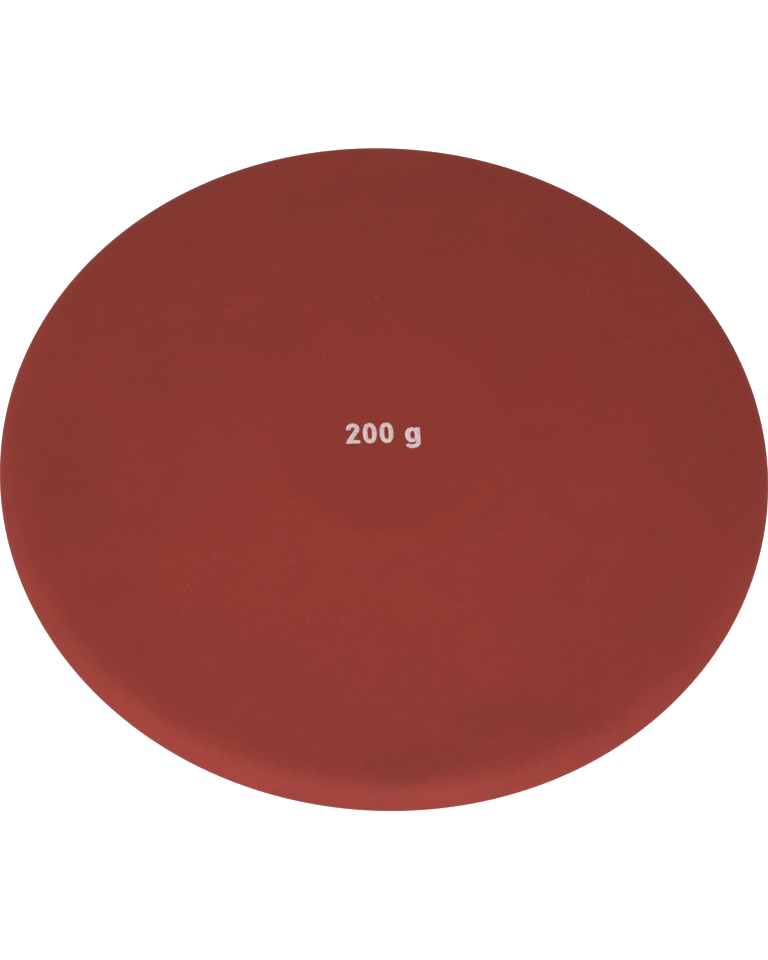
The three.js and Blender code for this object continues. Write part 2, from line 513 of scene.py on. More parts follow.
@dataclass(frozen=True)
class SoftPvcFinish:
    """Brick-red soft PVC, matt as it comes from the mould, faintly cloudy, dusty and rubbed, with painted shade
    towards the rim and a painted sheen on the rim.

    Attributes:
        red: The plastic's colour.
        dull_and_shaded_red: Its colour where it is handled most, and the colour of the painted shade that
            darkens it towards the rim.
        rubbed_red: Its colour where the edge of the flat is rubbed clean.
        dust: The colour of the dust, which on the rim also lies as a painted sheen.
        grime: The colour of dark specks.
        roughness: How matt the skin is.
        specular: How strongly it shines.
        clouds: Broad changes of its lightness.
        mottle: Small ones.
        grain: The finest ones.
        blotches: Small changes of how dull it is.
        rim_painted_shade: How much painted shade darkens the rim.
        painted_shade_ring: The radii between which that painted shade grows.
        upper_side: The heights between which the upper face's smudges begin.
        rub: How much of the rubbed colour shows at the edge of the flat.
        rub_radius: The radius of that ring.
        rub_width: The distance from it at which it fades.
        rub_patches: Where the ring is rubbed less, and how much less.
        patch_edge: The values of those clouds between which it is rubbed more and more.
        rub_shine: How much less matt the ring is.
        veil: How thick the finest dust lies.
        veil_clouds: The fine and the coarse clouds that it lies in.
        veil_edge: The values of their sum between which it grows thicker.
        rim_dust_and_sheen: How much more of the dust colour lies on the rim, as dust and as a painted sheen.
        rim_dust_and_sheen_ring: The radii between which that dust and painted sheen grow.
        wiped: How much of the dust specks is wiped off the rim.
        wiped_ring: The radii between which they grow fewer.
        dust_specks: Specks of dust.
        lint: Larger pale specks.
        dirt: Dark specks.
        dust_matting: How much more matt dust makes the skin.
        sheen: Broad changes of how matt it is.
        skin: The relief of the skin.
        pores: The finer relief on it.
        smudges: The smudges of the upper face.
    """

    red: Colour = (0.2575, 0.0345, 0.0251)
    dull_and_shaded_red: Colour = (0.2170, 0.0334, 0.0237)
    rubbed_red: Colour = (0.2810, 0.0336, 0.0232)
    dust: Colour = (0.50, 0.26, 0.23)
    grime: Colour = (0.045, 0.012, 0.012)
    roughness: float = 0.65
    specular: float = 0.05
    clouds: Cloud = Cloud(46 * MM, 3.0, 0.0, 0.07)
    mottle: Cloud = Cloud(8 * MM, 4.0, 0.4, 0.1)
    grain: Cloud = Cloud(0.55 * MM, 2.0, 0.9, 0.09)
    blotches: Cloud = Cloud(12 * MM, 3.0, 2.9, 0.8)
    rim_painted_shade: float = 0.50
    painted_shade_ring: Span = (30 * MM, 90 * MM)
    upper_side: Span = (0.0, 4 * MM)
    rub: float = 0.5
    rub_radius: float = 27 * MM
    rub_width: float = 2.4 * MM
    rub_patches: Cloud = Cloud(14 * MM, 2.0, 1.7, 0.4)
    patch_edge: Span = (0.28, 0.62)
    rub_shine: float = 0.05
    veil: float = 0.02
    veil_clouds: tuple[Cloud, Cloud] = (Cloud(0.5 * MM, 2.0, 1.2, 1.2), Cloud(1.4 * MM, 1.0, 2.2, 1.0))
    veil_edge: Span = (0.1, 0.9)
    rim_dust_and_sheen: float = 0.005
    rim_dust_and_sheen_ring: Span = (78 * MM, 87 * MM)
    wiped: float = 0.8
    wiped_ring: Span = (72 * MM, 80 * MM)
    dust_specks: Specks = Specks(1.3 * MM, 0.22 * MM, 0.6, 0.31, 0.21)
    lint: Specks = Specks(7 * MM, 0.42 * MM, 0.33, 0.77, 0.5)
    dirt: Specks = Specks(6 * MM, 0.32 * MM, 0.35, 1.43, 0.5)
    dust_matting: float = 0.2
    sheen: Cloud = Cloud(20 * MM, 3.0, 0.6, 0.08)
    skin: Cloud = Cloud(4.5 * MM, 2.0, 2.3, 0.012 * MM)
    pores: Cloud = Cloud(0.45 * MM, 3.0, 3.1, 0.004 * MM)
    smudges: tuple[Smudge, ...] = (
        Smudge(3 * MM, -82 * MM, 14 * MM, 6.5 * MM, 0.80),
        Smudge(18 * MM, -72 * MM, 10 * MM, 5 * MM, 0.36),
        Smudge(38 * MM, -73 * MM, 10.5 * MM, 5 * MM, 0.34),
        Smudge(62 * MM, -48 * MM, 9 * MM, 12 * MM, 0.22),
        Smudge(-75 * MM, -7 * MM, 11 * MM, 18 * MM, 0.45),
        Smudge(76 * MM, -1 * MM, 7 * MM, 16 * MM, 0.45),
        Smudge(6 * MM, 73 * MM, 8 * MM, 7 * MM, 0.45),
        Smudge(24 * MM, 77 * MM, 12 * MM, 4 * MM, 0.60),
        Smudge(45 * MM, 63 * MM, 8 * MM, 5.5 * MM, 0.60),
        Smudge(10 * MM, 62 * MM, 45 * MM, 16 * MM, 0.25),
        Smudge(-27 * MM, 30 * MM, 17 * MM, 9 * MM, 0.35),
        Smudge(20 * MM, -22 * MM, 6 * MM, 4.5 * MM, 0.30),
        Smudge(-57 * MM, 44 * MM, 12 * MM, 13 * MM, 0.20),
        Smudge(-7 * MM, 58 * MM, 3.5 * MM, 7 * MM, -0.35),
        Smudge(11 * MM, 65 * MM, 3.5 * MM, 6 * MM, -0.25),
        Smudge(18 * MM, -50 * MM, 8 * MM, 12 * MM, -0.30),
        Smudge(-10 * MM, -43 * MM, 16 * MM, 11 * MM, -0.25),
        Smudge(-42 * MM, -32 * MM, 15 * MM, 10 * MM, -0.30),
        Smudge(48 * MM, -9 * MM, 15 * MM, 12 * MM, -0.30),
        Smudge(-48 * MM, 19 * MM, 15 * MM, 6 * MM, 0.34),
        Smudge(4 * MM, 41 * MM, 27 * MM, 5 * MM, 0.24),
        Smudge(43 * MM, -42 * MM, 8 * MM, 8 * MM, 0.22),
        Smudge(77 * MM, -36 * MM, 10 * MM, 18 * MM, -0.32),
        Smudge(-85 * MM, -20 * MM, 5 * MM, 16 * MM, -0.30),
    )

    def material(self) -> bpy.types.Material:
        """Build the material.

        Returns:
            The finished material.
        """
        shading = Shading("soft_pvc")
        radius = shading.radius()
        rubbed = self._rubbed(shading, radius)
        # The dull red stands for handling in blotches and smudges, and for painted shade towards the rim.
        colour = shading.mixed(self._dulled_and_shaded(shading, radius), self.red, self.dull_and_shaded_red)
        colour = shading.mixed(rubbed * self.rub, colour, self.rubbed_red)
        level = 1.0 + shading.sway(self.clouds) + shading.sway(self.mottle) + shading.sway(self.grain)
        colour = shading.scaled(colour, level)
        settled = 1.0 - radius.rises(*self.wiped_ring) * self.wiped
        dust = shading.specks(self.dust_specks) * settled
        # On the rim the dust colour here also lays a painted sheen.
        colour = shading.mixed((self._dust_and_sheen_veil(shading, radius) + dust).at_most(1.0), colour, self.dust)
        colour = shading.mixed(shading.specks(self.lint) * settled, colour, self.dust)
        colour = shading.mixed(shading.specks(self.dirt), colour, self.grime)
        gloss = self.roughness + shading.sway(self.sheen) - rubbed * self.rub_shine + dust * self.dust_matting
        return shading.finish(
            {
                "Base Color": colour,
                "Roughness": gloss,
                "Specular IOR Level": self.specular,
                "Normal": shading.relief(self.pores, shading.relief(self.skin)),
            }
        )

    def _dulled_and_shaded(self, shading: Shading, radius: Field) -> Field:
        """Return how dull handling left the skin in blotches and in smudges, with a painted shade that darkens
        it towards the rim.

        Args:
            shading: The skin's shading.
            radius: The distance from the spin axis.

        Returns:
            0 for the plain red and 1 for the dull and shaded one.
        """
        # Painted shade: the skin grows darker from the flat out to the rim.
        dulled_and_shaded = radius.rises(*self.painted_shade_ring) * self.rim_painted_shade + shading.sway(self.blotches)
        upper = shading.height().rises(*self.upper_side)
        for smudge in self.smudges:
            dulled_and_shaded = dulled_and_shaded + smudge.factor(shading) * upper
        return dulled_and_shaded

    def _rubbed(self, shading: Shading, radius: Field) -> Field:
        """Return how much the edge of the flat is rubbed.

        Args:
            shading: The skin's shading.
            radius: The distance from the spin axis.

        Returns:
            Up to 1 on the ring, less in patches, and nearly 0 away from it.
        """
        off_ring = (radius - self.rub_radius) / self.rub_width
        ring = (1.0 / (off_ring * off_ring + 1.0)) ** 2.0
        patches = shading.noise(self.rub_patches).rises(*self.patch_edge)
        return ring * (patches * self.rub_patches.amount + (1.0 - self.rub_patches.amount))

    def _dust_and_sheen_veil(self, shading: Shading, radius: Field) -> Field:
        """Return how much the finest dust hides of the skin, and how much a painted sheen whitens the rim.

        Args:
            shading: The skin's shading.
            radius: The distance from the spin axis.

        Returns:
            0 for bare skin and 1 for dust alone.
        """
        fine, coarse = self.veil_clouds
        # Painted sheen: the dust colour lies thicker on the rim.
        thickness = radius.rises(*self.rim_dust_and_sheen_ring) * self.rim_dust_and_sheen + self.veil
        return (shading.sway(fine) + shading.sway(coarse) + 0.5).rises(*self.veil_edge) * thickness


@dataclass(frozen=True)
class ValveRubberFinish:
    """Black moulded rubber with a dull bloom and a little dust of use.

    Attributes:
        black: The rubber's colour.
        bloom: The grey of its bloom.
        roughness: How matt it is.
        specular: How strongly it shines.
        bloom_clouds: Where the bloom lies, and how much of it shows there.
        bloom_edge: The values of those clouds between which it grows thicker.
        bloom_matting: How much more matt the bloom is.
        dust: Specks of dust.
        skin: The relief of the rubber.
    """

    black: Colour = (0.012, 0.012, 0.012)
    bloom: Colour = (0.05, 0.048, 0.046)
    roughness: float = 0.62
    specular: float = 0.4
    bloom_clouds: Cloud = Cloud(3.2 * MM, 4.0, 0.2, 0.55)
    bloom_edge: Span = (0.42, 0.75)
    bloom_matting: float = 0.16
    dust: Specks = Specks(1.1 * MM, 0.09 * MM, 0.7, 0.5, 0.24)
    skin: Cloud = Cloud(0.35 * MM, 3.0, 1.1, 0.006 * MM)

    def material(self) -> bpy.types.Material:
        """Build the material.

        Returns:
            The finished material.
        """
        shading = Shading("valve_rubber")
        bloom = shading.noise(self.bloom_clouds).rises(*self.bloom_edge)
        cover = bloom * self.bloom_clouds.amount + shading.specks(self.dust)
        return shading.finish(
            {
                "Base Color": shading.mixed(cover, self.black, self.bloom),
                "Roughness": self.roughness + (bloom - 0.5) * self.bloom_matting,
                "Specular IOR Level": self.specular,
                "Normal": shading.relief(self.skin),
            }
        )


@dataclass(frozen=True)
class PlugPlasticFinish:
    """Off-white polythene, satin, with fine turning marks from its mould and grime at its edge.

    Attributes:
        white: The plastic's colour.
        grime: The colour of the dirt that gathers at the edge of the head.
        roughness: How matt it is.
        softness: How much light goes into it.
        light_depth: How deep that light goes, in metres.
        head_radius: The radius of the head's edge.
        clouds: The clouds of its dirt.
        cloudiness: How dirty the clouds make it.
        cloud_matting: How much more matt they make it.
        dirt: How dirty the edge is.
        dirt_edge: Where its dirt begins and where it is full, as shares of the head's radius.
        raggedness: How far the clouds move the dirt's edge, in metres.
        dirt_matting: How much more matt the dirt is.
        mark_spacing: The distance from one turning mark to the next.
        mark_depth: How deep the marks are.
        skin: The relief of the plastic.
    """

    white: Colour = (0.66, 0.63, 0.56)
    grime: Colour = (0.30, 0.25, 0.21)
    roughness: float = 0.42
    softness: float = 0.08
    light_depth: float = 1 * MM
    head_radius: float = 4.5 * MM
    clouds: Cloud = Cloud(2.6 * MM, 3.0, 0.7, 1.0)
    cloudiness: float = 0.12
    cloud_matting: float = 0.2
    dirt: float = 0.5
    dirt_edge: Span = (0.72, 1.02)
    raggedness: float = 1.4 * MM
    dirt_matting: float = 0.12
    mark_spacing: float = 0.3 * MM
    mark_depth: float = 0.003 * MM
    skin: Cloud = Cloud(0.5 * MM, 3.0, 1.9, 0.004 * MM)

    def material(self) -> bpy.types.Material:
        """Build the material.

        Returns:
            The finished material.
        """
        shading = Shading("plug_plastic")
        radius = shading.radius()
        clouds = shading.sway(self.clouds)
        dirt = ((radius + clouds * self.raggedness) / self.head_radius).rises(*self.dirt_edge)
        cover = dirt * self.dirt + clouds * self.cloudiness + self.cloudiness / 2
        turn = radius * (math.tau / self.mark_spacing)
        marks = shading.field("ShaderNodeMath", {"operation": "SINE"}, {0: turn}) * 0.5 + 0.5
        return shading.finish(
            {
                "Base Color": shading.mixed(cover, self.white, self.grime),
                "Roughness": self.roughness + clouds * self.cloud_matting + dirt * self.dirt_matting,
                "Subsurface Weight": self.softness,
                "Subsurface Scale": self.light_depth,
                "Normal": shading.relief(self.skin, shading.bump(marks, self.mark_depth)),
            }
        )


@dataclass(frozen=True)
class PrintInkFinish:
    """Pale pad-printed ink, a little thin in places, with pinholes.

    Attributes:
        white: The ink where it lies thick.
        thin: The ink where the red shows through.
        roughness: How matt it is.
        specular: How strongly it shines.
        wear: Where it is thin, and how much of the thin ink shows there.
        wear_edge: The values of those clouds between which it grows thinner.
        edge_cover: How much of the wear the thick ink at the edges hides.
        wear_matting: How much more matt the thin ink is.
        pinholes: The pinholes.
        skin: The relief of the ink.
    """

    white: Colour = (0.70, 0.55, 0.545)
    thin: Colour = (0.46, 0.36, 0.36)
    roughness: float = 0.5
    specular: float = 0.3
    wear: Cloud = Cloud(0.7 * MM, 3.0, 0.8, 0.75)
    wear_edge: Span = (0.42, 0.7)
    edge_cover: float = 0.85
    wear_matting: float = 0.2
    pinholes: Specks = Specks(0.5 * MM, 0.09 * MM, 0.4, 0.9, 0.5)
    skin: Cloud = Cloud(0.25 * MM, 2.0, 0.3, 0.006 * MM)

    def material(self) -> bpy.types.Material:
        """Build the material.

        Returns:
            The finished material.
        """
        shading = Shading("print_ink")
        edge = shading.field("ShaderNodeAttribute", {"attribute_name": INK_EDGE}, None, "Fac")
        worn = shading.noise(self.wear).rises(*self.wear_edge) * (1.0 - edge * self.edge_cover)
        thinness = (worn * self.wear.amount + shading.specks(self.pinholes)).at_most(1.0)
        return shading.finish(
            {
                "Base Color": shading.mixed(thinness, self.white, self.thin),
                "Roughness": self.roughness + worn * self.wear_matting,
                "Specular IOR Level": self.specular,
                "Normal": shading.relief(self.skin),
            }
        )


# Turned and filled shapes


def start_afresh() -> None:
    """Leave edit mode and select nothing."""
    if bpy.context.mode != "OBJECT":
        bpy.ops.object.mode_set(mode="OBJECT")
    bpy.ops.object.select_all(action="DESELECT")


def take_up(piece: bpy.types.Object) -> None:
    """Make one piece the only selected and active one.

    Args:
        piece: The piece.
    """
    start_afresh()
    piece.select_set(True)
    bpy.context.view_layer.objects.active = piece


@contextmanager
def editing(piece: bpy.types.Object) -> Iterator[None]:
    """Take a piece up and open its mesh to be shaped, until the end of the block.

    Args:
        piece: The piece.

    Yields:
        Nothing, while the mesh is open.
    """
    take_up(piece)
    bpy.ops.object.mode_set(mode="EDIT")
    yield
    bpy.ops.object.mode_set(mode="OBJECT")


def apply_modifier(piece: bpy.types.Object, kind: str, settings: Settings) -> None:
    """Add a modifier and apply it.

    Args:
        piece: The piece that it shapes.
        kind: The modifier's type.
        settings: Its properties.
    """
    take_up(piece)
    modifier = piece.modifiers.new(kind.lower(), kind)
    for key, value in settings.items():
        setattr(modifier, key, value)
    bpy.ops.object.modifier_apply(modifier=modifier.name)


def point(radius: float, height: float) -> Vector:
    """Return a point of a section, in the plane of radius and height."""
    return Vector((radius, height))


def direction(angle: float) -> Vector:
    """Return a unit vector at an angle above the outward direction."""
    return Vector((math.cos(angle), math.sin(angle)))


def outward_from(azimuth: float, elevation: float) -> Vector:
    """Return a unit vector out of the origin.

    Args:
        azimuth: Its turn from +X towards +Y, in degrees.
        elevation: Its height above the horizon, in degrees.

    Returns:
        The vector.
    """
    turn, rise = math.radians(azimuth), math.radians(elevation)
    return Vector((math.cos(turn) * math.cos(rise), math.sin(turn) * math.cos(rise), math.sin(rise)))


def arc(centre: Vector, radius: float, start: float, end: float, steps: int) -> Section:
    """Return points on an arc.

    Args:
        centre: The arc's centre.
        radius: Its radius.
        start: The angle of its first point, in radians.
        end: The angle of its last point.
        steps: How many steps it takes.

    Returns:
        The points, both ends included.
    """
    return [centre + direction(start + (end - start) * i / steps) * radius for i in range(steps + 1)]


def oval(middle: Vector, reach: Vector, fullness: float, start: float, end: float, steps: int) -> Section:
    """Return points on part of an oval.

    Args:
        middle: Its middle.
        reach: Half its width and half its height.
        fullness: ELLIPSE, or more for an oval with fuller corners.
        start: The angle of its first point, in radians.
        end: The angle of its last point.
        steps: How many steps it takes.

    Returns:
        The points, both ends included.
    """
    points = []
    for i in range(steps + 1):
        way = direction(start + (end - start) * i / steps)
        share = Vector(math.copysign(abs(part) ** (ELLIPSE / fullness), part) for part in way)
        points.append(middle + Vector((reach.x * share.x, reach.y * share.y)))
    return points


def closed_oval(middle: Vector, reach: Vector, fullness: float, steps: int) -> Section:
    """Return the corners of a whole oval, each of them once."""
    return oval(middle, reach, fullness, 0.0, math.tau, steps)[:-1]


def steps_up_to_one(count: int) -> list[float]:
    """Return evenly spaced shares from just above 0 up to 1."""
    return [(i + 1) / count for i in range(count)]


def spaced(section: Section, longest: float) -> Section:
    """Return a section with extra points on its long straight runs.

    Args:
        section: The section.
        longest: The longest run that stays whole, in metres.

    Returns:
        The section, with the same shape.
    """
    points = [section[0]]
    for before, after in zip(section, section[1:]):
        pieces = max(1, math.ceil((after - before).length / longest))
        points += [before.lerp(after, i / pieces) for i in range(1, pieces + 1)]
    return points


class TurnedPiece:
    """A round piece that grows ring by ring along its section, as on a lathe.

    Attributes:
        RING_REACH_SHARE: How far an edge of the open ring may lie from it, as a share of its radius.
        RING_REACH: What is added to that, in metres.
    """

    RING_REACH_SHARE = 0.02
    RING_REACH = 0.01 * MM

    def __init__(self, name: str, first: Vector, steps: int, pole: bool) -> None:
        """Lay down the first ring.

        Args:
            name: The piece's name.
            first: The radius and height of the first ring.
            steps: How many corners a ring has.
            pole: Whether the ring is filled, as the first bit of a closed face.
        """
        start_afresh()
        fill = "TRIFAN" if pole else "NOTHING"
        place = (0.0, 0.0, first.y)
        bpy.ops.mesh.primitive_circle_add(vertices=steps, radius=first.x, fill_type=fill, location=place)
        self.piece = bpy.context.object
        self.piece.name = name
        self.piece.data.name = name
        bpy.ops.object.transform_apply(location=True, rotation=True, scale=True)
        self.ring = first

    def grow(self, section: Section) -> None:
        """Extrude the open ring from point to point.

        Args:
            section: The radius and height of each new ring.
        """
        with editing(self.piece):
            bpy.ops.mesh.select_mode(type="EDGE")
            bpy.ops.mesh.select_all(action="DESELECT")
            bpy.ops.mesh.select_non_manifold(use_wire=True, use_boundary=True, use_multi_face=False)
            if self.piece.data.polygons:
                self._keep_open_ring()
            for place in section:
                lift = (0.0, 0.0, place.y - self.ring.y)
                bpy.ops.mesh.extrude_edges_move(TRANSFORM_OT_translate={"value": lift})
                growth = place.x / self.ring.x
                middle = (0.0, 0.0, place.y)
                bpy.ops.transform.resize(value=(growth, growth, 1.0), center_override=middle)
                self.ring = place

    def _keep_open_ring(self) -> None:
        """Of all the open edges, keep only the ring that grew last selected."""
        bpy.ops.object.mode_set(mode="OBJECT")
        mesh = self.piece.data
        reach = self.RING_REACH_SHARE * self.ring.x + self.RING_REACH
        for edge in mesh.edges:
            if edge.select:
                start, end = (mesh.vertices[corner].co for corner in edge.vertices)
                middle = (start + end) / 2
                edge.select = abs(middle.z - self.ring.y) + abs(middle.xy.length - self.ring.x) < reach
        bpy.ops.object.mode_set(mode="EDIT")

    def close(self) -> bpy.types.Object:
        """Close the piece where its last ring meets its first, or in a pole, and turn its faces outwards.

        Returns:
            The finished piece.
        """
        with editing(self.piece):
            bpy.ops.mesh.select_mode(type="VERT")
            bpy.ops.mesh.select_all(action="SELECT")
            bpy.ops.mesh.remove_doubles(threshold=MERGE_DISTANCE)
            bpy.ops.mesh.select_all(action="DESELECT")
            bpy.ops.mesh.select_non_manifold(use_wire=False, use_boundary=True, use_multi_face=False)
            if bpy.context.object.data.total_vert_sel:
                bpy.ops.mesh.edge_face_add()
                bpy.ops.mesh.poke()
            bpy.ops.mesh.select_all(action="SELECT")
            bpy.ops.mesh.normals_make_consistent(inside=False)
        return self.piece


def smooth(piece: bpy.types.Object, sharp_angle: float) -> None:
    """Shade a piece smooth, apart from its sharp edges.

    Args:
        piece: The piece.
        sharp_angle: The angle from which an edge stays sharp, in degrees.
    """
    take_up(piece)
    bpy.ops.object.shade_smooth_by_angle(angle=math.radians(sharp_angle))


def hand_over(piece: bpy.types.Object, material: bpy.types.Material, body: Body) -> None:
    """Dress a piece, fix it to its body and report it.

    Args:
        piece: The piece.
        material: Its finish.
        body: The body that it moves with.
    """
    piece.data.materials.clear()
    piece.data.materials.append(material)
    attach(piece, body.value)
    log.info("%s: %d faces, on %s", piece.name, len(piece.data.polygons), body.value)


# Sub-assemblies


@dataclass
class HollowShell:
    """The seamless skin of the discus, with the moulded neck of its filling hole inside.

    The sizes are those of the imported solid, and the overall ones are read from it. The steps are pairs: those
    of the rim's nose, and those of each other arc.
    """

    diameter: float
    thickness: float
    finish: SoftPvcFinish
    wall: float = 3.1 * MM
    flat_diameter: float = 54 * MM
    shoulder_radius: float = 24 * MM
    nose_radius: float = 6 * MM
    blend_radius: float = 18 * MM
    nose_end_angle: float = math.radians(70)
    neck_diameter: float = 21 * MM
    neck_height: float = 12 * MM
    neck_edge_radius: float = 1.5 * MM
    neck_root_radius: float = 2 * MM
    recess_diameter: float = 16 * MM
    recess_depth: float = 2 * MM
    recess_edge_radius: float = 0.4 * MM
    bore_diameter: float = 9 * MM
    pole_radius: float = 1.5 * MM
    ring_steps: int = 256
    outer_steps: tuple[int, int] = (14, 6)
    inner_steps: tuple[int, int] = (8, 3)
    edge_steps: int = 4
    longest_run: float = 3 * MM
    sharp_angle: float = 40.0
    unevenness: float = 0.07 * MM
    unevenness_size: float = 34 * MM
    even_radius: float = 29 * MM
    uneven_radius: float = 40 * MM

    @property
    def bottom(self) -> float:
        """Height of the lower flat."""
        return -self.thickness / 2

    def half_section(self, inset: float, steps: tuple[int, int]) -> Section:
        """Return half of the section, this far inside the outer surface.

        Args:
            inset: The distance inside the outer surface, in metres.
            steps: Steps of the rim's nose, and of each other arc.

        Returns:
            Points from the centre flat outwards to the widest line.
        """
        nose_steps, arc_steps = steps
        nose_centre = point(self.diameter / 2 - self.nose_radius, 0.0)
        blend_centre = nose_centre + direction(self.nose_end_angle) * (self.nose_radius - self.blend_radius)
        corner = point(self.flat_diameter / 2, self.thickness / 2)
        off = blend_centre - corner
        cone = -math.asin(self.blend_radius / off.length) - math.atan2(off.y, off.x)
        tangent = self.shoulder_radius * math.tan(cone / 2)
        shoulder_centre = corner - point(tangent, self.shoulder_radius)
        cone_end = QUARTER_TURN - cone
        nose = arc(nose_centre, self.nose_radius - inset, 0.0, self.nose_end_angle, nose_steps)
        blend = arc(blend_centre, self.blend_radius - inset, self.nose_end_angle, cone_end, arc_steps)
        shoulder = arc(shoulder_centre, self.shoulder_radius - inset, cone_end, QUARTER_TURN, arc_steps)
        return [*nose, *blend[1:], *shoulder][::-1]

    def full_section(self, inset: float, steps: tuple[int, int]) -> Section:
        """Return the section from the upper flat round the rim to the lower flat.

        Args:
            inset: The distance inside the outer surface, in metres.
            steps: Steps of the rim's nose, and of each other arc.

        Returns:
            The section.
        """
        upper = self.half_section(inset, steps)
        lower = [point(place.x, -place.y) for place in upper[:-1]]
        return [*upper, *lower[::-1]]

    def neck_section(self) -> Section:
        """Return the section through the recess, the bore and the neck, up to the neck's root.

        Returns:
            Points from the edge of the recess to the floor of the inside.
        """
        bottom = self.bottom
        recess_radius = self.recess_diameter / 2
        neck_radius = self.neck_diameter / 2
        bore_radius = self.bore_diameter / 2
        edge = self.neck_edge_radius
        root = self.neck_root_radius
        floor = bottom + self.wall
        lip = point(recess_radius + self.recess_edge_radius, bottom + self.recess_edge_radius)
        edge_centre = point(neck_radius - edge, bottom + self.neck_height - edge)
        root_centre = point(neck_radius + root, floor + root)
        return [
            *arc(lip, self.recess_edge_radius, -QUARTER_TURN, -math.pi, self.edge_steps),
            point(recess_radius, bottom + self.recess_depth),
            point(bore_radius, bottom + self.recess_depth),
            point(bore_radius, bottom + self.neck_height),
            *arc(edge_centre, edge, QUARTER_TURN, 0.0, self.edge_steps),
            *arc(root_centre, root, -math.pi, -QUARTER_TURN, self.edge_steps),
        ]

    def build(self) -> bpy.types.Object:
        """Model the skin, inside and out, and dress it.

        Returns:
            The finished shell.
        """
        first = point(self.pole_radius, self.thickness / 2)
        outside = spaced([first, *self.full_section(0.0, self.outer_steps)], self.longest_run)
        shell = TurnedPiece("shell_skin", first, self.ring_steps, pole=True)
        shell.grow(outside[1:])
        self._make_uneven(shell.piece)
        shell.grow(self.neck_section())
        inside = self.full_section(self.wall, self.inner_steps)[::-1]
        shell.grow([*inside, point(self.pole_radius, self.thickness / 2 - self.wall)])
        piece = shell.close()
        smooth(piece, self.sharp_angle)
        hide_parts("shell")
        hand_over(piece, self.finish.material(), Body.DISCUS)
        return piece

    def _make_uneven(self, piece: bpy.types.Object) -> None:
        """Give the cones and the rim the faint swell of a soft moulding, and leave the flats true.

        Args:
            piece: The outer skin.
        """
        group = piece.vertex_groups.new(name="uneven")
        span = self.uneven_radius - self.even_radius
        for vertex in piece.data.vertices:
            share = min(1.0, max(0.0, (vertex.co.xy.length - self.even_radius) / span))
            group.add([vertex.index], share * share * (3 - 2 * share), "REPLACE")
        texture = bpy.data.textures.new("moulding_swell", "CLOUDS")
        texture.noise_scale = self.unevenness_size
        texture.noise_depth = 1
        settings = {
            "texture": texture,
            "texture_coords": "LOCAL",
            "strength": self.unevenness,
            "mid_level": 0.5,
            "vertex_group": group.name,
        }
        apply_modifier(piece, "DISPLACE", settings)


